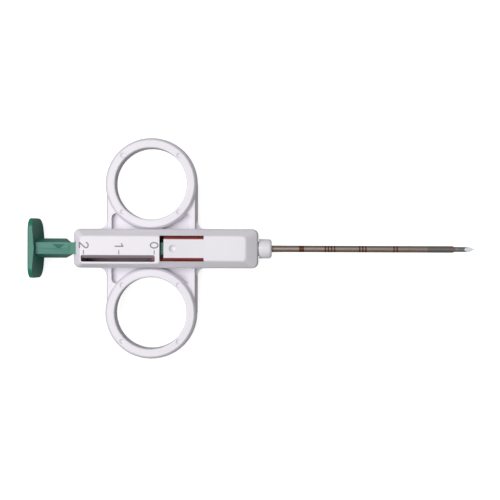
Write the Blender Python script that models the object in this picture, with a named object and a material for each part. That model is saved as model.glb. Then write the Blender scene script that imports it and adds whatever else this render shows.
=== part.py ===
"""Semi-automatic biopsy needle: a two-ring moulded handle, a spring-loaded cutting cannula and a stylet.

Metres, +Z up. X 0 is the line through the ring centres, Y 0 is the needle axis, and Z 0 is the
underside that the handle rests on. The needle points along +X. It stands as just fired: plunger
home, cannula carriage forward, latch tongue held up over the plunger's ramp.
"""

import math

import bmesh
import bpy
from mathutils import Vector

# Housing
HOUSING_LENGTH = 0.0585
HOUSING_REAR = 0.0245
HOUSING_WIDTH = 0.0125
HOUSING_HEIGHT = 0.0128
PARTING_RISE = 0.0015
SIDE_WALL = 0.0016
END_WALL = 0.0014
FLOOR = 0.0014
CEILING = 0.0014
CORNER_RADIUS = 0.0018
UNDERSIDE_CHAMFER = 0.0007
PARTING_GAP = 0.0001
COVER_REVEAL = 0.00012
CAVITY_BEND_DROP = 0.0002
BAR_OPENING_END = 0.0012

# Chamfers round the top of the cover
CHAMFER_HEIGHT = 0.0030
SIDE_CHAMFER = 0.00225
REAR_CHAMFER = 0.0025
FRONT_CHAMFER = 0.0037
SCALE_SIDE_CHAMFER = 0.00123
SCALE_SIDE_MARGIN = 0.0008
SCALE_SIDE_RUNOUT = 0.0003
TOP_CORNER_RADIUS = 0.0012
TOP_EASE = 0.0004
BEND_EASE = 0.0005

# Lip that locates the two shells
LIP_THICKNESS = 0.0006
LIP_HEIGHT = 0.0009
LIP_GAP = 0.0002

# Finger rings and their webs
RING_SPACING = 0.0410
RING_BORE = 0.0227
RING_FACE_WIDTH = 0.00235
RING_THICKNESS = 0.0062
RING_CROWN = 0.0010
RING_EDGE = 0.0005
RING_EMBED = 0.0012
RING_RELIEF = 0.0002
WEB_INSET = 0.00004
WEB_TOP = 0.0014
WEB_BOTTOM = 0.0018
WEB_DRAFT = 0.0008
WEB_RIM = 0.0020
WEB_POCKET_REACH = 0.0050
WEB_POCKET_DEPTH = 0.0020
WEB_POCKET_RADIUS = 0.0016
WEB_FILLET = 0.0023
WEB_FILLET_TOP = 0.0005

# Latch tongue and the window round it
WINDOW_LEAD = 0.0011
WINDOW_LENGTH = 0.0139
WINDOW_DROP = 0.0004
WINDOW_WIDTH = 0.0081
TONGUE_WIDTH = 0.0058
TONGUE_GAP = 0.0014
TONGUE_THICKNESS = 0.0012
TONGUE_LIFT = 0.0007
TONGUE_ROOT = 0.0010
TONGUE_ROOT_INSET = 0.0002
HOOK_GAP = 0.00035
HOOK_LENGTH = 0.0010
HOOK_RAMP = 0.0014
DIMPLE_RADIUS = 0.0012
DIMPLE_DEPTH = 0.00075
DIMPLE_SETBACK = 0.0029

# Scale slot
SLOT_END_GAP = 0.0003
SLOT_MARGIN = 0.0003
SLOT_INNER_EDGE = 0.00208
SLOT_OUTER_EDGE = 0.00422
SLOT_SLOPE = 0.00095
SLOT_RADIUS = 0.0005

# Running clearances
RUN_GAP = 0.00035
SEAT_GAP = 0.0003
GLUE_GAP = 0.00005
GUIDE_GAP = 0.0001

# Gap between the handle and the plunger's shaft at rest
PLUNGER_REST_GAP = 0.0012

# Carriage
CARRIAGE_LENGTH = 0.0221
CARRIAGE_FRONT_SPACE = 0.0063
CARRIAGE_TOP_GAP = 0.0006
RUNNER_HEIGHT = 0.0004
RUNNER_WIDTH = 0.0007
RUNNER_SPACING = 0.0056
STOP_LENGTH = 0.0012
POINTER_LENGTH = 0.0037
POINTER_HEAD = 0.0009
POINTER_WIDTH = 0.0008
POINTER_ARM_TOP = 0.0014
POINTER_ARM_DEPTH = 0.0020
POINTER_ARM_INSET = 0.0001
FLANK_POCKET_LENGTH = 0.0150
FLANK_POCKET_HEIGHT = 0.0034
FLANK_POCKET_DEPTH = 0.0009

# Spring
WIRE_DIAMETER = 0.0004
SPRING_DIAMETER = 0.0030
SPRING_TURNS = 22
SPRING_BORE = 0.0035
SPRING_NEST = 0.0103
CLOSE_TURN_PITCH = 0.00048

# Needle
CANNULA_DIAMETER = 0.0021
CANNULA_WALL = 0.000175
CANNULA_EXPOSED = 0.0598
CANNULA_BEVEL = 0.0039
CANNULA_POINT = 0.0018
STYLET_DIAMETER = 0.00165
STYLET_PAST_CANNULA = 0.0048
STYLET_BEVEL = 0.0036
STYLET_POINT = 0.0019
NOTCH_LENGTH = 0.0200
NOTCH_SETBACK = 0.0064
NOTCH_FLOOR = 0.0001
NOTCH_RAMP = 0.0008
HUB_DIAMETER = 0.0033
HUB_EDGE = 0.0002
HUB_RECESS = 0.0016
CANNULA_HUB_LENGTH = 0.0022
STYLET_HUB_LENGTH = 0.0030

# Nose bush
NOSE_DIAMETER = 0.0061
NOSE_LENGTH = 0.0043
NOSE_EDGE = 0.0009
NECK_DIAMETER = 0.0046
FLANGE_DIAMETER = 0.0062
FLANGE_LENGTH = 0.0010

# Plunger
PLATE_WIDTH = 0.0190
PLATE_LIFT = 0.0002
PLATE_RADIUS = 0.0036
PLATE_MIDDLE = 0.0026
PLATE_EDGE = 0.0018
PLATE_LEAN = 0.0005
PLATE_EASE = 0.0004
SHAFT_LENGTH = 0.0102
SHAFT_WIDTH = 0.0062
SHAFT_RIDGE = 0.0003
SHAFT_TAPER = 0.0015
SHAFT_END_STEP = 0.00002
BAR_WIDTH = 0.0037
BAR_THICKNESS = 0.0014
BAR_DROP = 0.0002
BAR_PAST_TONGUE_TIP = 0.0009
RAMP_HEIGHT = 0.00025
RAMP_FLAT = 0.0014
RAMP_RUN = 0.0012
DOG_DEPTH = 0.0004
DOG_LENGTH = 0.0012

# Facets
CORNER_STEPS = 4
ROUND_STEPS = 24
RING_STEPS = 56
COIL_STEPS = 12
CROWN_STEPS = 6
EDGE_STEPS = 3
EASE_STEPS = 2
DIMPLE_STEPS = 24

# Far enough through a wall for a cutter to leave no skin
THROUGH = 0.0010
MERGE = 1e-7

PALE = "#E9E6EE"
GREEN = "#2F5E50"
RED_BROWN = "#6E2A28"
STEEL = "#8E8884"
HUB_GREY = "#B9BCC0"

# Places that follow from the sizes
HOUSING_FRONT = HOUSING_LENGTH - HOUSING_REAR
HALF_WIDTH = HOUSING_WIDTH / 2
AXIS_HEIGHT = HOUSING_HEIGHT / 2
PARTING_HEIGHT = AXIS_HEIGHT + PARTING_RISE
CHAMFER_BASE = HOUSING_HEIGHT - CHAMFER_HEIGHT
RING_OUTER = RING_BORE / 2 + RING_FACE_WIDTH + RING_CROWN
WEB_HALF = RING_OUTER - WEB_INSET
CAVITY_REAR = END_WALL - HOUSING_REAR
CAVITY_FRONT = HOUSING_FRONT - END_WALL
CAVITY_HALF = HALF_WIDTH - SIDE_WALL
CAVITY_TOP = HOUSING_HEIGHT - CEILING
CAVITY_BEND = CHAMFER_BASE - CAVITY_BEND_DROP
CARRIAGE_FRONT = CAVITY_FRONT - CARRIAGE_FRONT_SPACE
CARRIAGE_REAR = CARRIAGE_FRONT - CARRIAGE_LENGTH
POINTER_REAR = CARRIAGE_REAR - POINTER_LENGTH
SLOT_FRONT = POINTER_REAR + POINTER_HEAD + SLOT_END_GAP
WINDOW_REAR = CARRIAGE_REAR - WINDOW_LEAD
WINDOW_FRONT = WINDOW_REAR + WINDOW_LENGTH
TONGUE_TIP = WINDOW_REAR + TONGUE_GAP
CARRIAGE_HALF = CAVITY_HALF - RUN_GAP
CARRIAGE_TOP = CAVITY_TOP - CARRIAGE_TOP_GAP - AXIS_HEIGHT
CARRIAGE_BOTTOM = FLOOR + RUNNER_HEIGHT + SEAT_GAP - AXIS_HEIGHT
CHANNEL_HALF = BAR_WIDTH / 2 + SEAT_GAP
HUB_REAR = CARRIAGE_REAR + SPRING_NEST + SEAT_GAP
NOSE_FRONT = HOUSING_FRONT + NOSE_LENGTH
CANNULA_TIP = NOSE_FRONT + CANNULA_EXPOSED
STYLET_TIP = CANNULA_TIP + STYLET_PAST_CANNULA
SHAFT_FRONT = -HOUSING_REAR - PLUNGER_REST_GAP
SHAFT_REAR = SHAFT_FRONT - SHAFT_LENGTH
PLATE_REAR = SHAFT_REAR - PLATE_MIDDLE
PLATE_HALF_HEIGHT = AXIS_HEIGHT - PLATE_LIFT
BAR_TOP = CARRIAGE_TOP - BAR_DROP
BAR_BOTTOM = BAR_TOP - BAR_THICKNESS
BAR_TIP = TONGUE_TIP + BAR_PAST_TONGUE_TIP
CHANNEL_FLOOR = BAR_BOTTOM - DOG_DEPTH - RUN_GAP
STYLET_HUB_REAR = SHAFT_FRONT - HUB_RECESS - STYLET_HUB_LENGTH


def linear(code):
    """Linear colour of an sRGB hex code, with alpha 1."""
    channels = [int(code[i:i + 2], 16) / 255 for i in (1, 3, 5)]
    return [c / 12.92 if c <= 0.04045 else ((c + 0.055) / 1.055) ** 2.4 for c in channels] + [1.0]


def material(name, code, roughness, metallic=0.0):
    made = bpy.data.materials.new(name)
    made.use_nodes = True
    shader = made.node_tree.nodes["Principled BSDF"]
    shader.inputs["Base Color"].default_value = linear(code)
    shader.inputs["Roughness"].default_value = roughness
    shader.inputs["Metallic"].default_value = metallic
    return made


def clear_scene():
    for obj in list(bpy.data.objects):
        bpy.data.objects.remove(obj, do_unlink=True)


def rounded_rectangle(x0, x1, y0, y1, radius, steps=CORNER_STEPS):
    """Outline anticlockwise from the front of the -Y side, each corner an arc."""
    corners = ((x1 - radius, y0 + radius, -90), (x1 - radius, y1 - radius, 0),
               (x0 + radius, y1 - radius, 90), (x0 + radius, y0 + radius, 180))
    points = []
    for cx, cy, start in corners:
        for i in range(steps + 1):
            angle = math.radians(start + 90 * i / steps)
            points.append((cx + radius * math.cos(angle), cy + radius * math.sin(angle)))
    return points


def at_height(outline, z):
    return [Vector((x, y, z)) for x, y in outline]


def across(outline, x):
    """A (y, z) outline stood up at one X."""
    return [Vector((x, y, z)) for y, z in outline]


def loft(*loops):
    """Closed solid through outlines that match point for point."""
    bm = bmesh.new()
    rows = [[bm.verts.new(point) for point in loop] for loop in loops]
    rims = [[bm.edges.new((row[i - 1], row[i])) for i in range(len(row))] for row in rows]
    for first, second in zip(rims, rims[1:]):
        bmesh.ops.bridge_loops(bm, edges=first + second)
    for row in (rows[0], rows[-1]):
        bmesh.ops.contextual_create(bm, geom=[e for e in rims[rows.index(row)]])
    bmesh.ops.recalc_face_normals(bm, faces=bm.faces)
    return bm


def ease(bm, place, amount):
    """Rounds the edges whose two ends are both at the place asked for."""
    rim = [edge for edge in bm.edges if all(place(vert.co) for vert in edge.verts)]
    bmesh.ops.bevel(bm, geom=rim, offset=amount, offset_type="OFFSET", segments=EASE_STEPS, profile=0.5,
                    affect="EDGES", material=-1)
    bmesh.ops.recalc_face_normals(bm, faces=bm.faces)
    return bm


def block(x0, x1, y0, y1, z0, z1):
    corners = ((x0, y0), (x1, y0), (x1, y1), (x0, y1))
    return loft(at_height(corners, z0), at_height(corners, z1))


def revolved(profile, centre, axis, segments, closed=True):
    """Solid swept by a profile of points once round an axis."""
    bm = bmesh.new()
    verts = [bm.verts.new(point) for point in profile]
    pairs = list(zip(verts, verts[1:]))
    if closed:
        pairs.append((verts[-1], verts[0]))
    edges = [bm.edges.new(pair) for pair in pairs]
    bmesh.ops.spin(bm, geom=verts + edges, cent=centre, axis=axis, angle=math.tau,
                   steps=segments, use_merge=True)
    bmesh.ops.remove_doubles(bm, verts=bm.verts, dist=MERGE)
    bmesh.ops.recalc_face_normals(bm, faces=bm.faces)
    return bm


def turned(profile, closed=True):
    """Solid turned about the needle axis from (x, radius) points."""
    points = [Vector((x, 0, radius)) for x, radius in profile]
    return revolved(points, (0, 0, 0), (1, 0, 0), ROUND_STEPS, closed)


def rod(x0, x1, diameter):
    radius = diameter / 2
    return turned(((x0, 0), (x0, radius), (x1, radius), (x1, 0)), closed=False)


def both_sides(bm):
    """The shape and its mirror image across the needle axis."""
    bmesh.ops.mirror(bm, geom=bm.verts[:] + bm.edges[:] + bm.faces[:], axis="Y", merge_dist=MERGE)
    bmesh.ops.recalc_face_normals(bm, faces=bm.faces)
    return bm


def new_object(name, bm, finish=None, parent=None, height=0.0):
    mesh = bpy.data.meshes.new(name)
    bm.to_mesh(mesh)
    bm.free()
    mesh.shade_smooth()
    mesh.set_sharp_from_angle(angle=math.radians(32))
    obj = bpy.data.objects.new(name, mesh)
    obj.location.z = height
    obj.parent = parent
    if finish:
        mesh.materials.append(finish)
    bpy.context.scene.collection.objects.link(obj)
    return obj


def shape(obj, operation, name, bm):
    """Adds or cuts a helper solid, given in the object's own coordinates."""
    helper = new_object(f"{obj.name}_{name}", bm, parent=obj)
    helper.hide_render = True
    helper.display_type = "WIRE"
    step = obj.modifiers.new(name, "BOOLEAN")
    step.operation = operation
    step.solver = "EXACT"
    step.object = helper


def cut(obj, name, bm):
    shape(obj, "DIFFERENCE", name, bm)


def join(obj, name, bm):
    shape(obj, "UNION", name, bm)


def empty(name, height):
    obj = bpy.data.objects.new(name, None)
    obj.location.z = height
    bpy.context.scene.collection.objects.link(obj)
    return obj


def ring_profile():
    """Section of one finger ring: flat faces, eased bore edges and a crowned outer wall."""
    bore = RING_BORE / 2
    face = bore + RING_FACE_WIDTH
    half = RING_THICKNESS / 2
    edge = []
    for i in range(EDGE_STEPS + 1):
        angle = math.pi / 2 * i / EDGE_STEPS
        edge.append((bore + RING_EDGE * (1 - math.cos(angle)), half - RING_EDGE * (1 - math.sin(angle))))
    points = [(r, -z) for r, z in edge]
    for i in range(CROWN_STEPS + 1):
        angle = math.pi * (i / CROWN_STEPS - 0.5)
        points.append((face + RING_CROWN * math.cos(angle), half * math.sin(angle)))
    return points + edge[::-1]


def finger_rings():
    centre = RING_SPACING / 2
    points = [Vector((0, centre + r, AXIS_HEIGHT + z)) for r, z in ring_profile()]
    return both_sides(revolved(points, (0, centre, 0), (0, 0, 1), RING_STEPS))


def upright_cylinder(x, y, radius, z0, z1, segments):
    points = (Vector((x, y, z0)), Vector((x + radius, y, z0)),
              Vector((x + radius, y, z1)), Vector((x, y, z1)))
    return revolved(points, (x, y, 0), (0, 0, 1), segments, closed=False)


def web_fillets():
    """Thin plate with a concave arc where each web's side meets the housing."""
    side = WEB_HALF
    foot = HALF_WIDTH - RING_EMBED
    centre = HALF_WIDTH + WEB_FILLET
    arc = []
    for i in range(CORNER_STEPS + 1):
        angle = math.radians(-90 - 90 * i / CORNER_STEPS)
        arc.append((side + WEB_FILLET + WEB_FILLET * math.cos(angle),
                    centre + WEB_FILLET * math.sin(angle)))
    front = [(side + WEB_FILLET, foot)] + arc
    outline = front + [(-x, y) for x, y in reversed(front)]
    bottom = AXIS_HEIGHT - WEB_BOTTOM
    top = AXIS_HEIGHT - WEB_FILLET_TOP
    return both_sides(loft(at_height(outline, bottom), at_height(outline, top)))


def inner_box(grow, bottom, top, radius):
    outline = rounded_rectangle(CAVITY_REAR - grow, CAVITY_FRONT + grow,
                                -CAVITY_HALF - grow, CAVITY_HALF + grow, radius)
    return loft(at_height(outline, bottom), at_height(outline, top))


def housing_outline(inset):
    return rounded_rectangle(inset - HOUSING_REAR, HOUSING_FRONT - inset,
                             inset - HALF_WIDTH, HALF_WIDTH - inset, CORNER_RADIUS - inset)


def neck_hole():
    bm = rod(CAVITY_FRONT - THROUGH, HOUSING_FRONT + THROUGH, NECK_DIAMETER + 2 * SEAT_GAP)
    bmesh.ops.translate(bm, verts=bm.verts, vec=(0, 0, AXIS_HEIGHT))
    return bm


def make_bottom_shell(finish):
    """Tray, locating lip, finger rings and webs: one moulding."""
    full = housing_outline(0)
    tray = loft(at_height(housing_outline(UNDERSIDE_CHAMFER), 0), at_height(full, UNDERSIDE_CHAMFER),
                at_height(full, PARTING_HEIGHT - PARTING_GAP))
    shell = new_object("bottom_shell", tray, finish)
    centre = RING_SPACING / 2
    foot = HALF_WIDTH - RING_EMBED
    side = WEB_HALF
    pocket_side = side - WEB_RIM
    web_top = AXIS_HEIGHT + WEB_TOP
    narrow = side - WEB_DRAFT
    lower = ((-side, foot), (side, foot), (side, centre), (-side, centre))
    upper = ((-narrow, foot), (narrow, foot), (narrow, centre), (-narrow, centre))
    join(shell, "web", both_sides(loft(at_height(lower, AXIS_HEIGHT - WEB_BOTTOM), at_height(upper, web_top))))
    pocket = rounded_rectangle(-pocket_side, pocket_side, HALF_WIDTH - WEB_POCKET_RADIUS,
                               HALF_WIDTH + WEB_POCKET_REACH, WEB_POCKET_RADIUS)
    pocket_floor = web_top - WEB_POCKET_DEPTH
    keep_out = [(x, max(y, HALF_WIDTH)) for x, y in pocket]
    outline = [point for i, point in enumerate(keep_out) if point != keep_out[i - 1]]
    cut(shell, "pockets", both_sides(loft(at_height(outline, pocket_floor),
                                          at_height(outline, web_top + THROUGH))))
    join(shell, "fillets", web_fillets())
    bore = RING_BORE / 2 + RING_FACE_WIDTH / 2
    cut(shell, "ring_seats", both_sides(upright_cylinder(0, centre, bore, 0, HOUSING_HEIGHT,
                                                         RING_STEPS)))
    join(shell, "rings", finger_rings())
    join(shell, "lip", inner_box(LIP_THICKNESS, PARTING_HEIGHT - THROUGH, PARTING_HEIGHT + LIP_HEIGHT,
                                 CORNER_RADIUS / 2))
    cut(shell, "cavity", inner_box(0, FLOOR, HOUSING_HEIGHT, CORNER_RADIUS / 4))
    runner = RUNNER_SPACING / 2
    stop = CARRIAGE_FRONT + SEAT_GAP
    join(shell, "runners", both_sides(block(CAVITY_REAR - END_WALL / 2, stop + STOP_LENGTH / 2,
                                            runner - RUNNER_WIDTH / 2, runner + RUNNER_WIDTH / 2,
                                            FLOOR / 2, FLOOR + RUNNER_HEIGHT)))
    into_wall = CAVITY_HALF + SIDE_WALL / 2
    join(shell, "stop", block(stop, stop + STOP_LENGTH, -into_wall, into_wall,
                              FLOOR / 2, AXIS_HEIGHT - CANNULA_DIAMETER / 2 - SEAT_GAP))
    notch = STYLET_DIAMETER / 2 + SEAT_GAP
    round_end = rod(-HOUSING_REAR - THROUGH, CAVITY_REAR + THROUGH, 2 * notch)
    bmesh.ops.translate(round_end, verts=round_end.verts, vec=(0, 0, AXIS_HEIGHT))
    cut(shell, "stylet_hole", round_end)
    cut(shell, "stylet_notch", block(-HOUSING_REAR - THROUGH, CAVITY_REAR + THROUGH, -notch, notch,
                                     AXIS_HEIGHT, HOUSING_HEIGHT))
    cut(shell, "neck_hole", neck_hole())
    return shell


def cover_outline(rear, front, side, scale_side, radius):
    """Cover outline with two extra points on the -Y side, where the top widens beside the scale."""
    outline = rounded_rectangle(rear, front, -side, side, radius)
    last = outline[-(CORNER_STEPS + 1):]
    widened = [(x, y - (scale_side - side)) for x, y in last]
    bend = SLOT_FRONT + SCALE_SIDE_MARGIN
    run_out = bend + scale_side - side + SCALE_SIDE_RUNOUT
    return outline[:-(CORNER_STEPS + 1)] + widened + [(bend, -scale_side), (run_out, -side)]


def cover_body():
    rear = COVER_REVEAL - HOUSING_REAR
    front = HOUSING_FRONT - COVER_REVEAL
    side = HALF_WIDTH - COVER_REVEAL
    base = cover_outline(rear, front, side, side, CORNER_RADIUS)
    top = cover_outline(rear + REAR_CHAMFER, front - FRONT_CHAMFER, side - SIDE_CHAMFER,
                        side - SCALE_SIDE_CHAMFER, TOP_CORNER_RADIUS)
    bm = loft(at_height(base, PARTING_HEIGHT), at_height(base, CHAMFER_BASE),
              at_height(top, HOUSING_HEIGHT))
    ease(bm, lambda place: abs(place.z - CHAMFER_BASE) < MERGE, BEND_EASE)
    return ease(bm, lambda place: abs(place.z - HOUSING_HEIGHT) < MERGE, TOP_EASE)


def cover_cavity():
    """Hollow that follows the chamfered top at an even wall."""
    rise = (CAVITY_TOP - CAVITY_BEND) / CHAMFER_HEIGHT
    base = rounded_rectangle(CAVITY_REAR, CAVITY_FRONT, -CAVITY_HALF, CAVITY_HALF, CORNER_RADIUS / 4)
    top = rounded_rectangle(CAVITY_REAR + REAR_CHAMFER * rise, CAVITY_FRONT - FRONT_CHAMFER * rise,
                            SIDE_CHAMFER * rise - CAVITY_HALF, CAVITY_HALF - SIDE_CHAMFER * rise,
                            CORNER_RADIUS / 4)
    return loft(at_height(base, PARTING_HEIGHT - THROUGH), at_height(base, CAVITY_BEND),
                at_height(top, CAVITY_TOP))


def tongue():
    """Latch tongue, raised at its free end, with the hook under it."""
    top = HOUSING_HEIGHT
    under = top - TONGUE_THICKNESS
    tip_top = top + TONGUE_LIFT
    hook = AXIS_HEIGHT + CARRIAGE_TOP + HOOK_GAP
    slope = TONGUE_LIFT / (WINDOW_FRONT - TONGUE_TIP)
    ramp_end = TONGUE_TIP + HOOK_LENGTH + HOOK_RAMP
    root = WINDOW_FRONT + TONGUE_ROOT
    outline = [(TONGUE_TIP, tip_top), (TONGUE_TIP, hook), (TONGUE_TIP + HOOK_LENGTH, hook),
               (ramp_end, under + slope * (WINDOW_FRONT - ramp_end)), (WINDOW_FRONT, under),
               (root, under + TONGUE_ROOT_INSET), (root, top - TONGUE_ROOT_INSET), (WINDOW_FRONT, top)]
    half = TONGUE_WIDTH / 2
    return loft([Vector((x, -half, z)) for x, z in outline], [Vector((x, half, z)) for x, z in outline])


def dimple():
    """Ball whose cap leaves the thumb dimple in the tongue."""
    x = TONGUE_TIP + DIMPLE_SETBACK
    surface = HOUSING_HEIGHT + TONGUE_LIFT * (WINDOW_FRONT - x) / (WINDOW_FRONT - TONGUE_TIP)
    radius = (DIMPLE_RADIUS ** 2 + DIMPLE_DEPTH ** 2) / (2 * DIMPLE_DEPTH)
    bm = bmesh.new()
    bmesh.ops.create_uvsphere(bm, u_segments=DIMPLE_STEPS, v_segments=DIMPLE_STEPS, radius=radius)
    bmesh.ops.translate(bm, verts=bm.verts, vec=(x, 0, surface + radius - DIMPLE_DEPTH))
    return bm


def scale_slot():
    """Slot with one sloped side, towards the needle axis."""
    rear = COVER_REVEAL - HOUSING_REAR + REAR_CHAMFER + SLOT_MARGIN
    inner = -SLOT_INNER_EDGE
    wide = rounded_rectangle(rear, SLOT_FRONT, -SLOT_OUTER_EDGE, inner, SLOT_RADIUS)
    narrow = rounded_rectangle(rear, SLOT_FRONT, -SLOT_OUTER_EDGE, inner - SLOT_SLOPE, SLOT_RADIUS)
    above = rounded_rectangle(rear, SLOT_FRONT, -SLOT_OUTER_EDGE, inner + SLOT_SLOPE, SLOT_RADIUS)
    bottom = CAVITY_BEND + (CAVITY_TOP - CAVITY_BEND) / 4
    return loft(at_height(narrow, bottom), at_height(narrow, CAVITY_TOP), at_height(wide, HOUSING_HEIGHT),
                at_height(above, HOUSING_HEIGHT + CEILING))


def make_top_cover(finish):
    """Chamfered cover with the scale slot and the U-slot that frees the latch tongue."""
    cover = new_object("top_cover", cover_body(), finish)
    cut(cover, "rebate", inner_box(LIP_THICKNESS + LIP_GAP, PARTING_HEIGHT - THROUGH,
                                   PARTING_HEIGHT + LIP_HEIGHT + LIP_GAP, CORNER_RADIUS / 2))
    cut(cover, "cavity", cover_cavity())
    relief_top = AXIS_HEIGHT + RING_THICKNESS / 2 + RING_RELIEF
    cut(cover, "ring_reliefs", both_sides(upright_cylinder(0, RING_SPACING / 2, RING_OUTER + RING_RELIEF,
                                                           PARTING_HEIGHT - THROUGH, relief_top,
                                                           RING_STEPS)))
    cut(cover, "slot", scale_slot())
    opening = BAR_WIDTH / 2 + SEAT_GAP
    cut(cover, "bar_opening", block(-HOUSING_REAR - THROUGH, CAVITY_REAR + REAR_CHAMFER - BAR_OPENING_END,
                                    -opening, opening, AXIS_HEIGHT + BAR_BOTTOM - SEAT_GAP,
                                    AXIS_HEIGHT + BAR_TOP + SEAT_GAP))
    cut(cover, "neck_hole", neck_hole())
    half = WINDOW_WIDTH / 2
    cut(cover, "window", block(WINDOW_REAR, WINDOW_FRONT, -half, half, CAVITY_BEND + WINDOW_DROP,
                               HOUSING_HEIGHT + THROUGH))
    join(cover, "tongue", tongue())
    cut(cover, "dimple", dimple())
    return cover


def make_nose_bush(finish):
    """Front bush: flange inside the wall, neck through it and a rounded nose outside."""
    bore = CANNULA_DIAMETER / 2 + GUIDE_GAP
    inside = CAVITY_FRONT - SEAT_GAP
    outside = HOUSING_FRONT + SEAT_GAP
    radius = NOSE_DIAMETER / 2
    profile = [(inside - FLANGE_LENGTH, bore), (inside - FLANGE_LENGTH, FLANGE_DIAMETER / 2),
               (inside, FLANGE_DIAMETER / 2), (inside, NECK_DIAMETER / 2), (outside, NECK_DIAMETER / 2),
               (outside, radius)]
    for i in range(CORNER_STEPS + 1):
        angle = math.radians(90 - 90 * i / CORNER_STEPS)
        profile.append((NOSE_FRONT - NOSE_EDGE + NOSE_EDGE * math.cos(angle),
                        radius - NOSE_EDGE + NOSE_EDGE * math.sin(angle)))
    profile.append((NOSE_FRONT, bore))
    return new_object("nose_bush", turned(profile), finish, height=AXIS_HEIGHT)


def carriage_section():
    """Outline across the carriage: chamfered like the cover, with the bar's channel on top."""
    bend = CAVITY_BEND - RUN_GAP - AXIS_HEIGHT
    top_half = CARRIAGE_HALF - (CARRIAGE_TOP - bend) * SIDE_CHAMFER / CHAMFER_HEIGHT
    right = [(CARRIAGE_HALF, CARRIAGE_BOTTOM), (CARRIAGE_HALF, bend), (top_half, CARRIAGE_TOP),
             (CHANNEL_HALF, CARRIAGE_TOP), (CHANNEL_HALF, CHANNEL_FLOOR)]
    return right + [(-y, z) for y, z in reversed(right)]


def make_cannula_carriage(finish, parent):
    section = carriage_section()
    body = loft(across(section, CARRIAGE_REAR), across(section, CARRIAGE_FRONT))
    carriage = new_object("cannula_carriage", body, finish, parent)
    outer = -CARRIAGE_HALF
    arm_top = POINTER_ARM_TOP
    head = POINTER_REAR
    inner = outer + 2 * POINTER_WIDTH
    join(carriage, "pointer_arm", block(head, CARRIAGE_REAR + THROUGH, outer + POINTER_ARM_INSET, inner,
                                        arm_top - POINTER_ARM_DEPTH, arm_top))
    slot_side = -SLOT_INNER_EDGE - SLOT_SLOPE
    join(carriage, "pointer_head", block(head, head + POINTER_HEAD, slot_side - POINTER_WIDTH, slot_side,
                                         arm_top - POINTER_ARM_DEPTH / 2, CARRIAGE_TOP - SEAT_GAP))
    hub_front = HUB_REAR + CANNULA_HUB_LENGTH + SEAT_GAP
    cut(carriage, "spring_bore", rod(CARRIAGE_REAR - THROUGH, hub_front, SPRING_BORE))
    cut(carriage, "cannula_bore", rod(HUB_REAR, CARRIAGE_FRONT + THROUGH, CANNULA_DIAMETER + 2 * GUIDE_GAP))
    middle = (CARRIAGE_REAR + CARRIAGE_FRONT) / 2
    half = FLANK_POCKET_LENGTH / 2
    cut(carriage, "flanks", both_sides(block(middle - half, middle + half,
                                             CARRIAGE_HALF - FLANK_POCKET_DEPTH, CARRIAGE_HALF + THROUGH,
                                             -FLANK_POCKET_HEIGHT / 2, FLANK_POCKET_HEIGHT / 2)))
    return carriage


def sloped_end(x_low, x_high, radius):
    """Wedge that cuts a round end to a bevel from x_low at the bottom to x_high at the top."""
    slope = (x_high - x_low) / (2 * radius)
    bottom = x_low - slope * radius
    top = x_high + slope * radius
    far = max(bottom, top) + 2 * radius
    outline = [(bottom, -2 * radius), (far, -2 * radius), (far, 2 * radius), (top, 2 * radius)]
    return loft([Vector((x, -2 * radius, z)) for x, z in outline],
                [Vector((x, 2 * radius, z)) for x, z in outline])


def sharpen(obj, tip, length, radius):
    """Two side facets that bring an end to a point, seen from above."""
    for name, side in (("left_facet", radius), ("right_facet", -radius)):
        outline = [(tip, 0), (tip + length, 0), (tip + length, 2 * side), (tip - length, 2 * side),
                   (tip - length, side)]
        cut(obj, name, loft(at_height(outline, -2 * radius), at_height(outline, 2 * radius)))


def make_cannula(finish, parent):
    """Thin tube, its end cut to a bevel that faces down under a pointed tongue."""
    outer = CANNULA_DIAMETER / 2
    inner = outer - CANNULA_WALL
    rear = HUB_REAR + GUIDE_GAP
    tube = turned(((rear, inner), (rear, outer), (CANNULA_TIP, outer), (CANNULA_TIP, inner)))
    cannula = new_object("cannula", tube, finish, parent)
    cut(cannula, "bevel", sloped_end(CANNULA_TIP - CANNULA_BEVEL, CANNULA_TIP, outer))
    sharpen(cannula, CANNULA_TIP, CANNULA_POINT, outer)
    return cannula


def hub(name, rear, length, bore, finish, parent):
    radius = HUB_DIAMETER / 2
    front = rear + length
    profile = ((rear, bore), (rear, radius - HUB_EDGE), (rear + HUB_EDGE, radius),
               (front - HUB_EDGE, radius), (front, radius - HUB_EDGE), (front, bore))
    return new_object(name, turned(profile), finish, parent)


def make_stylet(finish, parent):
    """Rod with a sample notch behind its lancet tip: one long bevel that faces up and two side facets."""
    radius = STYLET_DIAMETER / 2
    stylet = new_object("stylet", rod(STYLET_HUB_REAR, STYLET_TIP, STYLET_DIAMETER), finish, parent)
    cut(stylet, "bevel", sloped_end(STYLET_TIP, STYLET_TIP - STYLET_BEVEL, radius))
    sharpen(stylet, STYLET_TIP, STYLET_POINT, radius)
    notch_front = STYLET_TIP - NOTCH_SETBACK
    notch_rear = notch_front - NOTCH_LENGTH
    outline = [(notch_rear, 2 * radius), (notch_rear, radius), (notch_rear + NOTCH_RAMP, NOTCH_FLOOR),
               (notch_front - NOTCH_RAMP, NOTCH_FLOOR), (notch_front, radius), (notch_front, 2 * radius)]
    cut(stylet, "notch", loft([Vector((x, -2 * radius, z)) for x, z in outline],
                              [Vector((x, 2 * radius, z)) for x, z in outline]))
    return stylet


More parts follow.
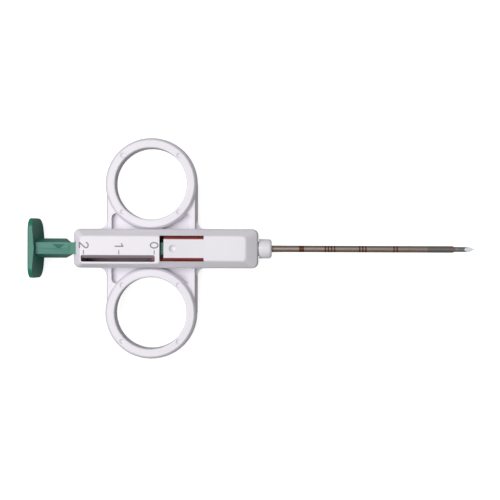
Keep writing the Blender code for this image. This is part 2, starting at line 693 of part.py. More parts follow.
def thumb_plate():
    """Rounded plate, its front tapering in a shallow V from the middle to both ends and leaning back."""
    half = PLATE_WIDTH / 2
    outline = rounded_rectangle(-half, half, -PLATE_HALF_HEIGHT, PLATE_HALF_HEIGHT, PLATE_RADIUS)
    bm = loft(across(outline, PLATE_REAR), across(outline, PLATE_REAR + PLATE_MIDDLE + PLATE_LEAN))
    ease(bm, lambda place: abs(place.x - PLATE_REAR) < MERGE, PLATE_EASE)
    fall = PLATE_MIDDLE - PLATE_EDGE
    lean = half * PLATE_LEAN / PLATE_HALF_HEIGHT
    for side in (-1, 1):
        cut_edges = bmesh.ops.bisect_plane(bm, geom=bm.verts[:] + bm.edges[:] + bm.faces[:],
                                           plane_co=(PLATE_REAR + PLATE_MIDDLE, 0, 0),
                                           plane_no=(half, side * fall, lean), clear_outer=True)["geom_cut"]
        rim = [item for item in cut_edges if isinstance(item, bmesh.types.BMEdge)]
        bmesh.ops.contextual_create(bm, geom=rim)
    bmesh.ops.recalc_face_normals(bm, faces=bm.faces)
    return bm


def shaft_section(waist):
    """Six-sided section with a low ridge along its top."""
    half = BAR_WIDTH / 2
    right = [(half, -BAR_TOP), (waist, 0), (half, BAR_TOP)]
    return right + [(0, BAR_TOP + SHAFT_RIDGE)] + [(-y, z) for y, z in reversed(right)]


def bar():
    """Flat bar that runs over the carriage to the latch, with its ramp and dog."""
    tip = BAR_TIP
    ramp_top = BAR_TOP + RAMP_HEIGHT
    flat = tip - RAMP_FLAT
    outline = [(SHAFT_FRONT - THROUGH, BAR_BOTTOM), (tip - DOG_LENGTH, BAR_BOTTOM),
               (tip - DOG_LENGTH, BAR_BOTTOM - DOG_DEPTH), (tip, BAR_BOTTOM - DOG_DEPTH), (tip, ramp_top),
               (flat, ramp_top), (flat - RAMP_RUN, BAR_TOP), (SHAFT_FRONT - THROUGH, BAR_TOP)]
    half = BAR_WIDTH / 2
    return loft([Vector((x, -half, z)) for x, z in outline], [Vector((x, half, z)) for x, z in outline])


def make_plunger(finish, parent):
    full = shaft_section(SHAFT_WIDTH / 2)
    slim = shaft_section(BAR_WIDTH / 2 + SHAFT_END_STEP)
    shaft = loft(across(full, SHAFT_REAR - PLATE_EDGE), across(full, SHAFT_FRONT - SHAFT_TAPER),
                 across(slim, SHAFT_FRONT))
    plunger = new_object("plunger", shaft, finish, parent)
    join(plunger, "thumb_plate", thumb_plate())
    join(plunger, "bar", bar())
    cut(plunger, "hub_pocket", rod(STYLET_HUB_REAR - SEAT_GAP, SHAFT_FRONT + THROUGH / 2,
                                   HUB_DIAMETER + 2 * GUIDE_GAP))
    return plunger


def spring_path():
    """Points along the coil: one close turn at each end, open turns between."""
    rear = CAVITY_REAR + SEAT_GAP + WIRE_DIAMETER / 2
    front = HUB_REAR - SEAT_GAP - WIRE_DIAMETER / 2
    radius = (SPRING_DIAMETER - WIRE_DIAMETER) / 2
    close = CLOSE_TURN_PITCH
    pitch = (front - rear - 2 * close) / (SPRING_TURNS - 2)
    points = []
    for i in range(SPRING_TURNS * COIL_STEPS + 1):
        turn = i / COIL_STEPS
        x = rear + close * min(turn, 1) + pitch * min(max(turn - 1, 0), SPRING_TURNS - 2)
        x += close * max(turn - (SPRING_TURNS - 1), 0)
        points.append((x, radius * math.cos(math.tau * turn), radius * math.sin(math.tau * turn)))
    return points


def make_drive_spring(finish):
    curve = bpy.data.curves.new("drive_spring", "CURVE")
    curve.dimensions = "3D"
    curve.bevel_depth = WIRE_DIAMETER / 2
    curve.bevel_resolution = 1
    curve.use_fill_caps = True
    points = spring_path()
    spline = curve.splines.new("POLY")
    spline.points.add(len(points) - 1)
    for made, place in zip(spline.points, points):
        made.co = (*place, 1)
    curve.materials.append(finish)
    obj = bpy.data.objects.new("drive_spring", curve)
    obj.location.z = AXIS_HEIGHT
    bpy.context.scene.collection.objects.link(obj)
    return obj


def main():
    clear_scene()
    pale = material("pale_abs", PALE, 0.35)
    green = material("green_abs", GREEN, 0.40)
    red_brown = material("red_brown_acetal", RED_BROWN, 0.45)
    steel = material("needle_steel", STEEL, 0.30, 1.0)
    grey = material("grey_hub", HUB_GREY, 0.45)
    make_bottom_shell(pale)
    make_top_cover(pale)
    make_nose_bush(pale)
    make_drive_spring(steel)
    carriage_slide = empty("carriage_slide", AXIS_HEIGHT)
    make_cannula_carriage(red_brown, carriage_slide)
    make_cannula(steel, carriage_slide)
    hub("cannula_hub", HUB_REAR, CANNULA_HUB_LENGTH, CANNULA_DIAMETER / 2 + GLUE_GAP, grey,
        carriage_slide)
    plunger_slide = empty("plunger_slide", AXIS_HEIGHT)
    make_plunger(green, plunger_slide)
    make_stylet(steel, plunger_slide)
    hub("stylet_hub", STYLET_HUB_REAR, STYLET_HUB_LENGTH, STYLET_DIAMETER / 2 + GLUE_GAP, grey,
        plunger_slide)


main()
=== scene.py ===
import math

import bmesh
import bpy
from mathutils import Matrix, Vector


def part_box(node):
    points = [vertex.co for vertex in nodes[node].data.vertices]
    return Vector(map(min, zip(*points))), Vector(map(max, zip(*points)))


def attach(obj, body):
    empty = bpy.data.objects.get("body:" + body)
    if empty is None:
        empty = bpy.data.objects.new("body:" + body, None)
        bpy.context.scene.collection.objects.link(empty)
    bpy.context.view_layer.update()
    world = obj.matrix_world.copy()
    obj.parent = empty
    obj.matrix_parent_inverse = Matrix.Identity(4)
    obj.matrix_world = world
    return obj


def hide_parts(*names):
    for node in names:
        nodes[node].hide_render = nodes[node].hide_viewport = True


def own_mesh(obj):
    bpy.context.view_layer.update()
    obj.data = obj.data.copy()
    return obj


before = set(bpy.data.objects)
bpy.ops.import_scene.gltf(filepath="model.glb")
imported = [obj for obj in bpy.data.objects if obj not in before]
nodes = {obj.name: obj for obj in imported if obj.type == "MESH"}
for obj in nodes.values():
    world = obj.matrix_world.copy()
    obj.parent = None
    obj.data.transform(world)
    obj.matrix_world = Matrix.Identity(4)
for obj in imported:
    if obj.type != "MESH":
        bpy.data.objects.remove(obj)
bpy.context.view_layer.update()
print("frame loaded:", ", ".join(sorted(nodes)))

white = (1, 1, 1, 1)


def linearColour(code):
    channels = [int(code[i:i + 2], 16) / 255 for i in (1, 3, 5)]
    return [c / 12.92 if c <= 0.04045 else ((c + 0.055) / 1.055) ** 2.4 for c in channels] + [1.0]


def addNode(tree, kind, settings=(), links=()):
    # settings name a property or an input; links are (output socket, name of the input it feeds)
    node = tree.nodes.new(kind)
    for name, value in dict(settings).items():
        if isinstance(name, str) and hasattr(node, name):
            setattr(node, name, value)
        else:
            node.inputs[name].default_value = value
    for source, target in links:
        tree.links.new(source, node.inputs[target])
    return node


def newMaterial(name):
    material = bpy.data.materials.new(name)
    material.use_nodes = True
    tree = material.node_tree
    shader = tree.nodes["Principled BSDF"]
    place = addNode(tree, "ShaderNodeTexCoord").outputs["Object"]
    return material, tree, shader, place


def perMetre(millimetres):
    return 1000 / millimetres


# most of a noise texture's values lie between these two
noiseSpan = {"From Min": 0.3, "From Max": 0.7}


def addBands(tree, coordinate, bands, soft):
    # 1 inside any of the (start, end) stretches of a coordinate, 0 outside, with soft ends
    total = None
    for start, end in bands:
        middle, half = (start + end) / 2, (end - start) / 2
        away = addNode(tree, "ShaderNodeMath", {"operation": "SUBTRACT", 1: middle},
                       [(coordinate, 0)])
        distance = addNode(tree, "ShaderNodeMath", {"operation": "ABSOLUTE"},
                           [(away.outputs[0], 0)])
        reach = {"From Min": half - soft, "From Max": half + soft, "To Min": 1.0, "To Max": 0.0}
        inside = addNode(tree, "ShaderNodeMapRange", reach, [(distance.outputs[0], "Value")])
        if total is None:
            total = inside.outputs["Result"]
        else:
            total = addNode(tree, "ShaderNodeMath", {"operation": "MAXIMUM"},
                            [(total, 0), (inside.outputs["Result"], 1)]).outputs[0]
    return total


# moulded plastics: flow clouds tint the colour, and a fine tool texture moves gloss and height
moulding = {"cloudDetail": 2.0, "grainDetail": 4.0, "glossier": 0.04, "duller": 0.05,
            "height": 0.00002}


def mouldedPlastic(name, look):
    material, tree, shader, place = newMaterial(name)
    clouds = addNode(tree, "ShaderNodeTexNoise",
                     {"Scale": perMetre(look["cloudMm"]), "Detail": moulding["cloudDetail"]},
                     [(place, "Vector")])
    grain = addNode(tree, "ShaderNodeTexNoise",
                    {"Scale": perMetre(look["grainMm"]), "Detail": moulding["grainDetail"]},
                    [(place, "Vector")])
    tint = addNode(tree, "ShaderNodeMix",
                   {"data_type": "RGBA", 6: linearColour(look["light"]),
                    7: linearColour(look["dark"])}, [(clouds.outputs["Fac"], 0)])
    rough = addNode(tree, "ShaderNodeMapRange",
                    {**noiseSpan, "To Min": look["roughness"] - moulding["glossier"],
                     "To Max": look["roughness"] + moulding["duller"]},
                    [(grain.outputs["Fac"], "Value")])
    bump = addNode(tree, "ShaderNodeBump",
                   {"Strength": look["bump"], "Distance": moulding["height"]},
                   [(grain.outputs["Fac"], "Height")])
    tree.links.new(tint.outputs[2], shader.inputs["Base Color"])
    tree.links.new(rough.outputs["Result"], shader.inputs["Roughness"])
    tree.links.new(bump.outputs["Normal"], shader.inputs["Normal"])
    shader.inputs["IOR"].default_value = look["ior"]
    return material


# ABS, injection moulded: even, a little glossy, with edges that catch a soft light
paleAbs = mouldedPlastic("paleMouldedAbs", {
    "light": "#E3E0E6", "dark": "#DEDAE2", "cloudMm": 9, "grainMm": 0.35,
    "roughness": 0.33, "bump": 0.12, "ior": 1.54})

# two boxes, below the scale slot and round its walls, where the shell's colour is darkened and
# browned as painted shade and painted reddish bounce light
slotPaintedShadeBoxes = (
    {"X": (-0.0217, 0.0026), "Y": (-0.0052, 0.0052), "Z": (0.0006, 0.0110), "tint": "#BC97A5"},
    {"X": (-0.0217, 0.0026), "Y": (-0.0047, -0.0006), "Z": (0.0105, 0.01268), "tint": "#A89CA5"})
slotEdge = 0.00002


# paints shade and reddish bounce light from the carriage into the pale ABS's colour inside the two
# boxes
def paintShadeInSlot(material):
    tree = material.node_tree
    shader = tree.nodes["Principled BSDF"]
    place = addNode(tree, "ShaderNodeTexCoord").outputs["Object"]
    axes = addNode(tree, "ShaderNodeSeparateXYZ", {}, [(place, "Vector")])
    colour = shader.inputs["Base Color"].links[0].from_socket
    for box in slotPaintedShadeBoxes:
        inside = [addBands(tree, axes.outputs[axis], [box[axis]], slotEdge) for axis in "XYZ"]
        flat = addNode(tree, "ShaderNodeMath", {"operation": "MULTIPLY"},
                       [(inside[0], 0), (inside[1], 1)])
        mask = addNode(tree, "ShaderNodeMath", {"operation": "MULTIPLY"},
                       [(flat.outputs[0], 0), (inside[2], 1)])
        colour = addNode(tree, "ShaderNodeMix",
                         {"data_type": "RGBA", 7: linearColour(box["tint"])},
                         [(mask.outputs[0], 0), (colour, 6)]).outputs[2]
    tree.links.new(colour, shader.inputs["Base Color"])


paintShadeInSlot(paleAbs)

# ABS with green pigment: darker, so the skin's gloss shows more than its colour
greenAbs = mouldedPlastic("greenMouldedAbs", {
    "light": "#1E7B68", "dark": "#196A58", "cloudMm": 7, "grainMm": 0.35,
    "roughness": 0.34, "bump": 0.15, "ior": 1.49})
# the same ABS where the mould was eroded to a matt texture; its darker colour is painted shade for
# the sunk triangle
greenMattPaintedShade = mouldedPlastic("greenTexturedAbsPaintedShade", {
    "light": "#1E6C5A", "dark": "#1A5F4F", "cloudMm": 3, "grainMm": 0.2,
    "roughness": 0.6, "bump": 0.3, "ior": 1.45})
# acetal, moulded: waxy and a little matt
redAcetal = mouldedPlastic("redBrownMouldedAcetal", {
    "light": "#BC5D58", "dark": "#A64E49", "cloudMm": 5, "grainMm": 0.3,
    "roughness": 0.42, "bump": 0.12, "ior": 1.48})
# nylon, moulded: the grey hubs inside the handle
hubNylon = mouldedPlastic("greyMouldedNylon", {
    "light": "#C3C6CA", "dark": "#B2B6BB", "cloudMm": 3, "grainMm": 0.3,
    "roughness": 0.45, "bump": 0.10, "ior": 1.53})

# drawn stainless steel: fine lines along the needle left by the die, under a soft polish
drawing = {"lineDetail": 3.0, "glossier": 0.05, "duller": 0.08, "bump": 0.15, "height": 0.00001}


def drawnSteel(name, look):
    material, tree, shader, place = newMaterial(name)
    along = addNode(tree, "ShaderNodeMapping", {"Scale": (1 / look["lineStretch"], 1, 1)},
                    [(place, "Vector")])
    lines = addNode(tree, "ShaderNodeTexNoise",
                    {"Scale": perMetre(look["lineMm"]), "Detail": drawing["lineDetail"]},
                    [(along.outputs["Vector"], "Vector")])
    rough = addNode(tree, "ShaderNodeMapRange",
                    {**noiseSpan, "To Min": look["roughness"] - drawing["glossier"],
                     "To Max": look["roughness"] + drawing["duller"]},
                    [(lines.outputs["Fac"], "Value")])
    bump = addNode(tree, "ShaderNodeBump",
                   {"Strength": drawing["bump"], "Distance": drawing["height"]},
                   [(lines.outputs["Fac"], "Height")])
    tint = addNode(tree, "ShaderNodeMix",
                   {"data_type": "RGBA", 6: linearColour(look["light"]),
                    7: linearColour(look["dark"])}, [(lines.outputs["Fac"], 0)])
    tree.links.new(tint.outputs[2], shader.inputs["Base Color"])
    tree.links.new(rough.outputs["Result"], shader.inputs["Roughness"])
    tree.links.new(bump.outputs["Normal"], shader.inputs["Normal"])
    shader.inputs["Metallic"].default_value = 1.0
    return material, tree, shader, place, tint, rough, bump


# the cannula's etched marks: one wide band, then 4, 3 and 2 narrow rings a centimetre apart;
# towards the tip a zone is blasted matt, so that ultrasound shows it
marks = {"bandStart": 0.0470, "bandLength": 0.0016, "ringsFront": (0.0585, 0.0684, 0.0783),
         "ringCounts": (4, 3, 2), "ringWidth": 0.00048, "ringPitch": 0.00097,
         "dark": "#6A4335", "etchEdge": 0.00003,
         "mattStart": 0.0876, "mattEnd": 0.0964, "mattTint": "#7F7875", "mattRoughness": 0.62,
         "mattEdge": 0.0002, "gritMm": 0.12, "gritDetail": 2.0, "gritBump": 0.8,
         "gritHeight": 0.00004}


def markedCannula():
    material, tree, shader, place, tint, rough, bump = drawnSteel("drawnSteelMarkedTube", {
        "light": "#A3948B", "dark": "#8E8078", "lineMm": 0.06, "lineStretch": 60,
        "roughness": 0.47})
    x = addNode(tree, "ShaderNodeSeparateXYZ", {}, [(place, "Vector")]).outputs["X"]
    bands = [(marks["bandStart"], marks["bandStart"] + marks["bandLength"])]
    for front, count in zip(marks["ringsFront"], marks["ringCounts"]):
        for i in range(count):
            end = front - i * marks["ringPitch"]
            bands.append((end - marks["ringWidth"], end))
    etched = addBands(tree, x, bands, marks["etchEdge"])
    matt = addBands(tree, x, [(marks["mattStart"], marks["mattEnd"])], marks["mattEdge"])
    grit = addNode(tree, "ShaderNodeTexNoise",
                   {"Scale": perMetre(marks["gritMm"]), "Detail": marks["gritDetail"]},
                   [(place, "Vector")])
    mattColour = addNode(tree, "ShaderNodeMix",
                         {"data_type": "RGBA", 7: linearColour(marks["mattTint"])},
                         [(matt, 0), (tint.outputs[2], 6)])
    colour = addNode(tree, "ShaderNodeMix",
                     {"data_type": "RGBA", 7: linearColour(marks["dark"])},
                     [(etched, 0), (mattColour.outputs[2], 6)])
    mattRough = addNode(tree, "ShaderNodeMix",
                        {"data_type": "FLOAT", 3: marks["mattRoughness"]},
                        [(matt, 0), (rough.outputs["Result"], 2)])
    gritHeight = addNode(tree, "ShaderNodeMath", {"operation": "MULTIPLY"},
                         [(grit.outputs["Fac"], 0), (matt, 1)])
    gritBump = addNode(tree, "ShaderNodeBump",
                       {"Strength": marks["gritBump"], "Distance": marks["gritHeight"]},
                       [(gritHeight.outputs[0], "Height"), (bump.outputs["Normal"], "Normal")])
    tree.links.new(colour.outputs[2], shader.inputs["Base Color"])
    tree.links.new(mattRough.outputs[0], shader.inputs["Roughness"])
    tree.links.new(gritBump.outputs["Normal"], shader.inputs["Normal"])
    return material


tubeSteel = markedCannula()
rodSteel = drawnSteel("groundSteelRod", {
    "light": "#B6BBBF", "dark": "#A8ADB1", "lineMm": 0.05, "lineStretch": 40,
    "roughness": 0.24})[0]
springSteel = drawnSteel("drawnSpringWire", {
    "light": "#9C9A98", "dark": "#85827F", "lineMm": 0.05, "lineStretch": 8,
    "roughness": 0.3})[0]

# painted shade for the scale's moulded-in strokes: a thin grey film, flatter than the plastic under
# it
greyStrokeShade = mouldedPlastic("greyPaintedStrokeShade", {
    "light": "#8B868E", "dark": "#827D86", "cloudMm": 2, "grainMm": 0.1,
    "roughness": 0.55, "bump": 0.05, "ior": 1.45})
print("materials made")


def meshFrom(name, bm):
    mesh = bpy.data.meshes.new(name)
    bm.to_mesh(mesh)
    bm.free()
    return mesh


def placeObject(name, data):
    made = bpy.data.objects.new(name, data)
    bpy.context.scene.collection.objects.link(made)
    return made


def evaluatedMesh(holder):
    # the mesh that the holder's modifiers or curve give; the holder is removed
    evaluated = holder.evaluated_get(bpy.context.evaluated_depsgraph_get())
    mesh = bpy.data.meshes.new_from_object(evaluated)
    bpy.data.objects.remove(holder)
    return mesh


# degrees between faces above which an edge stays sharp; the needle's ground facets lie at a
# shallow angle to the round and have to stay crisp
sharpFrom = {"moulded": 35, "needle": 17, "spring": 60}


def finishPiece(name, bm, material, body, smoothAngle=sharpFrom["moulded"]):
    mesh = meshFrom(name, bm)
    mesh.materials.append(material)
    mesh.shade_smooth()
    mesh.set_sharp_from_angle(angle=math.radians(smoothAngle))
    piece = placeObject(name, mesh)
    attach(piece, body)
    return piece


def addPrism(bm, outline, lowZ, highZ):
    # an upright prism on a flat outline
    low = bm.faces.new([bm.verts.new((x, y, lowZ)) for x, y in outline])
    raised = bmesh.ops.extrude_face_region(bm, geom=[low])["geom"]
    bmesh.ops.translate(bm, verts=[v for v in raised if isinstance(v, bmesh.types.BMVert)],
                        vec=(0, 0, highZ - lowZ))


def addBlock(bm, size, centre):
    bmesh.ops.create_cube(bm, size=1.0)
    bmesh.ops.scale(bm, verts=bm.verts, vec=size)
    bmesh.ops.translate(bm, verts=bm.verts, vec=centre)


# ejector pins leave shallow round dents on the ring faces, four to a ring
pinMark = {"radius": 0.00086, "depth": 0.00032, "ringY": 0.0205, "circle": 0.0126,
           "faceZ": 0.0095, "count": 4, "firstDegrees": 45, "steps": 32}


def pinMarkCutter():
    bm = bmesh.new()
    ball = (pinMark["radius"] ** 2 + pinMark["depth"] ** 2) / (2 * pinMark["depth"])
    centreZ = pinMark["faceZ"] + ball - pinMark["depth"]
    for side in (-1, 1):
        for k in range(pinMark["count"]):
            angle = math.radians(pinMark["firstDegrees"] + 360 / pinMark["count"] * k)
            verts = bmesh.ops.create_uvsphere(bm, u_segments=pinMark["steps"],
                                              v_segments=pinMark["steps"], radius=ball)["verts"]
            bmesh.ops.translate(bm, verts=verts, vec=(
                pinMark["circle"] * math.cos(angle),
                side * pinMark["ringY"] + pinMark["circle"] * math.sin(angle), centreZ))
    return placeObject("pinMarkCutter", meshFrom("pinMarkCutter", bm))


# a triangle with a matt floor is sunk into the top of the plunger's shaft
arrow = {"corners": ((-0.0310, 0.00125), (-0.0288, -0.00025), (-0.0270, 0.00120)),
         "floorZ": 0.01064, "clearZ": 0.0115, "skin": 0.00002}


def arrowCutter():
    bm = bmesh.new()
    addPrism(bm, arrow["corners"], arrow["floorZ"], arrow["clearZ"])
    bmesh.ops.recalc_face_normals(bm, faces=bm.faces)
    return placeObject("arrowCutter", meshFrom("arrowCutter", bm))


# the two halves of the plunger's mould meet in a fine groove along the shaft
groove = {"rear": -0.0354, "front": -0.0262, "width": 0.0002, "floorZ": 0.0107, "clearZ": 0.0115}


def grooveCutter():
    bm = bmesh.new()
    addBlock(bm, (groove["front"] - groove["rear"], groove["width"],
                  groove["clearZ"] - groove["floorZ"]),
             ((groove["front"] + groove["rear"]) / 2, 0,
              (groove["clearZ"] + groove["floorZ"]) / 2))
    return placeObject("grooveCutter", meshFrom("grooveCutter", bm))


# the cannula's end is ground from both sides to a long point
tubePoint = {"tip": 0.0977, "length": 0.0020, "radius": 0.00105, "beyond": 0.0006,
             "lowZ": 0.0050, "highZ": 0.0078}


def tubePointCutter():
    bm = bmesh.new()
    tip, front = tubePoint["tip"], tubePoint["tip"] + tubePoint["beyond"]
    rear = tubePoint["tip"] - tubePoint["length"]
    for side in (-tubePoint["radius"], tubePoint["radius"]):
        outline = ((tip, 0), (front, 0), (front, 2 * side), (rear, 2 * side), (rear, side))
        addPrism(bm, outline, tubePoint["lowZ"], tubePoint["highZ"])
    bmesh.ops.recalc_face_normals(bm, faces=bm.faces)
    return placeObject("tubePointCutter", meshFrom("tubePointCutter", bm))


def cutMarks(bm, cutter):
    # the shape with the cutter's dents in it
    mesh = bpy.data.meshes.new("marked")
    bm.to_mesh(mesh)
    holder = placeObject("marked", mesh)
    step = holder.modifiers.new("marks", "BOOLEAN")
    step.operation, step.solver, step.object = "DIFFERENCE", "EXACT", cutter
    marked = evaluatedMesh(holder)
    bm.clear()
    bm.from_mesh(marked)
    bpy.data.objects.remove(cutter)


# what is cut into a node's shape before it is dressed
cutters = {"bottom_shell": (pinMarkCutter,), "cannula": (tubePointCutter,),
           "plunger": (arrowCutter, grooveCutter)}

# each node's finish, record slot, body and the radius that its mould or tool leaves on edges
dressed = {
    "bottom_shell": (paleAbs, "pale_plastic", "housing", 0.00015),
    "top_cover": (paleAbs, "pale_plastic", "housing", 0.00012),
    "nose_bush": (paleAbs, "pale_plastic", "housing", 0.0),
    "cannula_carriage": (redAcetal, "red_brown_plastic", "carriage", 0.00012),
    "cannula": (tubeSteel, "needle_steel", "carriage", 0.0),
    "cannula_hub": (hubNylon, "hub_plastic", "carriage", 0.0),
    "plunger": (greenAbs, "green_plastic", "plunger", 0.0002),
    "stylet": (rodSteel, "needle_steel", "plunger", 0.0),
    "stylet_hub": (hubNylon, "hub_plastic", "plunger", 0.0),
}

# cleaning of the CAD's triangles, and the rounding of the edges
dressing = {"weld": 2e-6, "flatDegrees": 0.3, "edgeSegments": 2, "edgeDegrees": 38}


def roundEdges(piece, radius):
    bevel = piece.modifiers.new("edge", "BEVEL")
    bevel.width = radius
    bevel.segments = dressing["edgeSegments"]
    bevel.limit_method = "ANGLE"
    bevel.angle_limit = math.radians(dressing["edgeDegrees"])
    bevel.use_clamp_overlap = True
    normals = piece.modifiers.new("normals", "WEIGHTED_NORMAL")
    normals.keep_sharp = True


def dressNode(node, material, slot, body, edge):
    bm = bmesh.new()
    bm.from_mesh(nodes[node].data)
    bmesh.ops.remove_doubles(bm, verts=bm.verts, dist=dressing["weld"])
    bmesh.ops.dissolve_limit(bm, angle_limit=math.radians(dressing["flatDegrees"]),
                             verts=bm.verts, edges=bm.edges)
    for makeCutter in cutters.get(node, ()):
        cutMarks(bm, makeCutter())
    smoothAngle = sharpFrom["needle" if slot == "needle_steel" else "moulded"]
    piece = finishPiece(node + "_dressed", bm, material, body, smoothAngle)
    if edge:
        roundEdges(piece, edge)
    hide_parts(node)


for node, (material, slot, body, edge) in dressed.items():
    dressNode(node, material, slot, body, edge)


def makeArrowFloor():
    # a thin textured plate that lies on the floor of the sunk triangle; its darker green is painted
    # shade
    bm = bmesh.new()
    addPrism(bm, arrow["corners"], arrow["floorZ"] - arrow["skin"],
             arrow["floorZ"] + arrow["skin"])
    bmesh.ops.recalc_face_normals(bm, faces=bm.faces)
    finishPiece("shaftArrowFloor", bm, greenMattPaintedShade, "plunger")


makeArrowFloor()
print("moulded pieces dressed")

# drive spring: one wire, a close turn at each end
spring = {"turns": 22, "wire": 0.0004, "outside": 0.0030, "stroke": 0.022, "closePitch": 1.2,
          "roundness": 3, "stepsPerTurn": 20, "weld": 1e-7}


def makeSpring():
    low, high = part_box("drive_spring")
    axisZ = (low.z + high.z) / 2
    radius = (spring["outside"] - spring["wire"]) / 2
    length = high.x - low.x - spring["wire"]
    close = spring["closePitch"] * spring["wire"]
    pitch = (length - 2 * close) / (spring["turns"] - 2)
    curve = bpy.data.curves.new("driveSpringPath", "CURVE")
    curve.dimensions = "3D"
    curve.bevel_depth = spring["wire"] / 2
    curve.bevel_resolution = spring["roundness"]
    curve.use_fill_caps = True
    line = curve.splines.new("POLY")
    count = spring["turns"] * spring["stepsPerTurn"]
    line.points.add(count)
    for i in range(count + 1):
        turn = i / spring["stepsPerTurn"]
        openTurns = min(max(turn - 1, 0), spring["turns"] - 2)
        x = low.x + spring["wire"] / 2 + close * min(turn, 1) + pitch * openTurns
        x += close * max(turn - (spring["turns"] - 1), 0)
        angle = math.tau * turn
        line.points[i].co = (x, radius * math.cos(angle), axisZ + radius * math.sin(angle), 1)
    bm = bmesh.new()
    bm.from_mesh(evaluatedMesh(placeObject("driveSpringCurve", curve)))
    bmesh.ops.remove_doubles(bm, verts=bm.verts, dist=spring["weld"])
    piece = finishPiece("drive_spring_coil", bm, springSteel, "housing", sharpFrom["spring"])
    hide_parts("drive_spring")
    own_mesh(piece)


makeSpring()
print("spring made")

# scale: three ticks and plain numerals drawn with one thin stroke, read from the plunger's side, as
# grey films of painted shade for strokes moulded into the cover; each numeral's points are
# millimetres to the right of and above its middle
scale = {"ticks": (-0.0207, -0.0096, 0.0015), "tickWidth": 0.0003, "tickOuter": -0.0019,
         "tickInner": -0.00055, "topZ": 0.0128, "film": 0.00003, "stroke": 0.0004,
         "middleY": 0.0010, "roundness": 2, "order": 3,
         "two": ((-0.8, 0.7), (-0.75, 1.2), (0, 1.55), (0.9, 1.2), (0.75, 0.35), (0, -0.35),
                 (-0.85, -1.3), (-0.85, -1.3), (0.9, -1.3)),
         "one": ((-0.6, 0.8), (-0.15, 0.95), (0.35, 1.3), (0.35, 1.3), (0.35, -1.3)),
         "zeroHalf": (0.85, 1.2), "zeroSteps": 24}


def strokeNumeral(name, points, x, closed):
    # a curve turned a quarter to the right, flattened to a thin film of painted stroke shade and
    # set at its tick
    curve = bpy.data.curves.new(name, "CURVE")
    curve.dimensions = "3D"
    curve.bevel_depth = 1.0
    curve.bevel_resolution = scale["roundness"]
    curve.use_fill_caps = True
    line = curve.splines.new("POLY" if closed else "NURBS")
    line.points.add(len(points) - 1)
    halfStroke = scale["stroke"] / 2
    unit = 1000 * halfStroke
    for made, (right, above) in zip(line.points, points):
        made.co = (above / unit, -right / unit, 0, 1)
    line.use_cyclic_u = closed
    if not closed:
        line.order_u = scale["order"]
        line.use_endpoint_u = True
    bm = bmesh.new()
    bm.from_mesh(evaluatedMesh(placeObject(name + "Curve", curve)))
    bmesh.ops.scale(bm, verts=bm.verts, vec=(halfStroke, halfStroke, scale["film"] / 2))
    # a quarter of the film's depth lies in the plastic
    filmZ = scale["topZ"] + scale["film"] / 4
    bmesh.ops.translate(bm, verts=bm.verts, vec=(x, scale["middleY"], filmZ))
    finishPiece(name, bm, greyStrokeShade, "housing")


def makeScale():
    for name, x in zip(("Two", "One", "Zero"), scale["ticks"]):
        tick = bmesh.new()
        addBlock(tick, (scale["tickWidth"], scale["tickInner"] - scale["tickOuter"], scale["film"]),
                 (x, (scale["tickInner"] + scale["tickOuter"]) / 2, scale["topZ"]))
        finishPiece("scaleTick" + name, tick, greyStrokeShade, "housing")
    wide, tall = scale["zeroHalf"]
    turns = [math.tau * i / scale["zeroSteps"] for i in range(scale["zeroSteps"])]
    zero = [(wide * math.cos(t), tall * math.sin(t)) for t in turns]
    strokeNumeral("scaleNumeralTwo", scale["two"], scale["ticks"][0], False)
    strokeNumeral("scaleNumeralOne", scale["one"], scale["ticks"][1], False)
    strokeNumeral("scaleNumeralZero", zero, scale["ticks"][2], True)


makeScale()
print("scale printed")

# floor: white to the camera, and a little grey to the light that it throws back up
floorLook = {"size": 3.0, "middleX": 0.03, "z": -0.00005, "seen": 0.55, "glow": 0.82,
             "bounce": 0.37, "roughness": 0.9}


def makeFloor():
    bm = bmesh.new()
    bmesh.ops.create_grid(bm, x_segments=1, y_segments=1, size=floorLook["size"] / 2)
    bmesh.ops.translate(bm, verts=bm.verts, vec=(floorLook["middleX"], 0, floorLook["z"]))
    mesh = meshFrom("floor", bm)
    floor = placeObject("floor", mesh)
    paper, tree, shader, _ = newMaterial("whitePaperSweep")
    seen = addNode(tree, "ShaderNodeLightPath").outputs["Is Camera Ray"]
    tone = addNode(tree, "ShaderNodeMapRange",
                   {"To Min": floorLook["bounce"], "To Max": floorLook["seen"]},
                   [(seen, "Value")])
    glow = addNode(tree, "ShaderNodeMath", {"operation": "MULTIPLY", 1: floorLook["glow"]},
                   [(seen, 0)])
    tree.links.new(tone.outputs["Result"], shader.inputs["Base Color"])
    tree.links.new(glow.outputs[0], shader.inputs["Emission Strength"])
    shader.inputs["Emission Color"].default_value = white
    shader.inputs["Roughness"].default_value = floorLook["roughness"]
    shader.inputs["Specular IOR Level"].default_value = 0.0
    mesh.materials.append(paper)


# lights: one wide soft box above, a little to the left, and a small card beyond the tip
softBoxes = {
    "keyBox": {"place": (-0.52, 0.12, 1.2), "aim": (0.03, 0.0, 0.006), "size": (1.5, 1.0),
               "power": 18.3},
    "tipCard": {"place": (1.25, 0.0, 0.68), "aim": (0.1, 0.0, 0.006), "size": (0.4, 0.4),
                "power": 0.9},
}


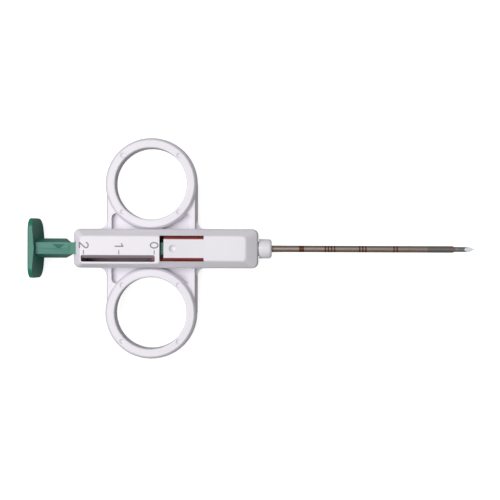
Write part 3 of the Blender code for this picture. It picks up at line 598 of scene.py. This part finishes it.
def addSoftBox(name, look):
    light = bpy.data.lights.new(name, "AREA")
    light.shape = "RECTANGLE"
    light.size, light.size_y = look["size"]
    light.energy = look["power"]
    holder = placeObject(name, light)
    holder.location = look["place"]
    holder.rotation_mode = "QUATERNION"
    toAim = Vector(look["aim"]) - Vector(look["place"])
    holder.rotation_quaternion = toAim.to_track_quat("-Z", "Y")


# backdrop: white to the camera, and it lights the object only a little
backdropLook = {"lights": 0.25, "seen": 1.0}


def makeBackdrop():
    world = bpy.data.worlds.new("studio")
    world.use_nodes = True
    tree = world.node_tree
    background = tree.nodes["Background"]
    background.inputs["Color"].default_value = white
    seen = addNode(tree, "ShaderNodeLightPath").outputs["Is Camera Ray"]
    strength = addNode(tree, "ShaderNodeMapRange",
                       {"To Min": backdropLook["lights"], "To Max": backdropLook["seen"]},
                       [(seen, "Value")])
    tree.links.new(strength.outputs["Result"], background.inputs["Strength"])
    bpy.context.scene.world = world


makeFloor()
for name, look in softBoxes.items():
    addSoftBox(name, look)
makeBackdrop()
bpy.context.scene.view_settings.view_transform = "Standard"

# camera: high above the middle of the device, looking almost straight down
view = {"eye": (0.0376, 0.0013, 0.3456), "aim": (0.0314, -0.0004, 0.0064),
        "acrossAtAim": 0.1593, "rollDegrees": 0.21, "sensor": 36.0, "clip": (0.01, 10)}


def makeCamera():
    camera = bpy.data.cameras.new("photoCamera")
    eye, aim = Vector(view["eye"]), Vector(view["aim"])
    camera.sensor_width = view["sensor"]
    camera.lens = view["sensor"] * (eye - aim).length / view["acrossAtAim"]
    camera.clip_start, camera.clip_end = view["clip"]
    back = (eye - aim).normalized()
    across = Vector((1, 0, 0)) - back * back.x
    across.normalize()
    upward = back.cross(across)
    roll = Matrix.Rotation(math.radians(view["rollDegrees"]), 3, "Z")
    turn = Matrix((across, upward, back)).transposed() @ roll
    holder = placeObject("photoCamera", camera)
    holder.matrix_world = Matrix.Translation(eye) @ turn.to_4x4()
    bpy.context.scene.camera = holder


makeCamera()
print("stage and camera set")
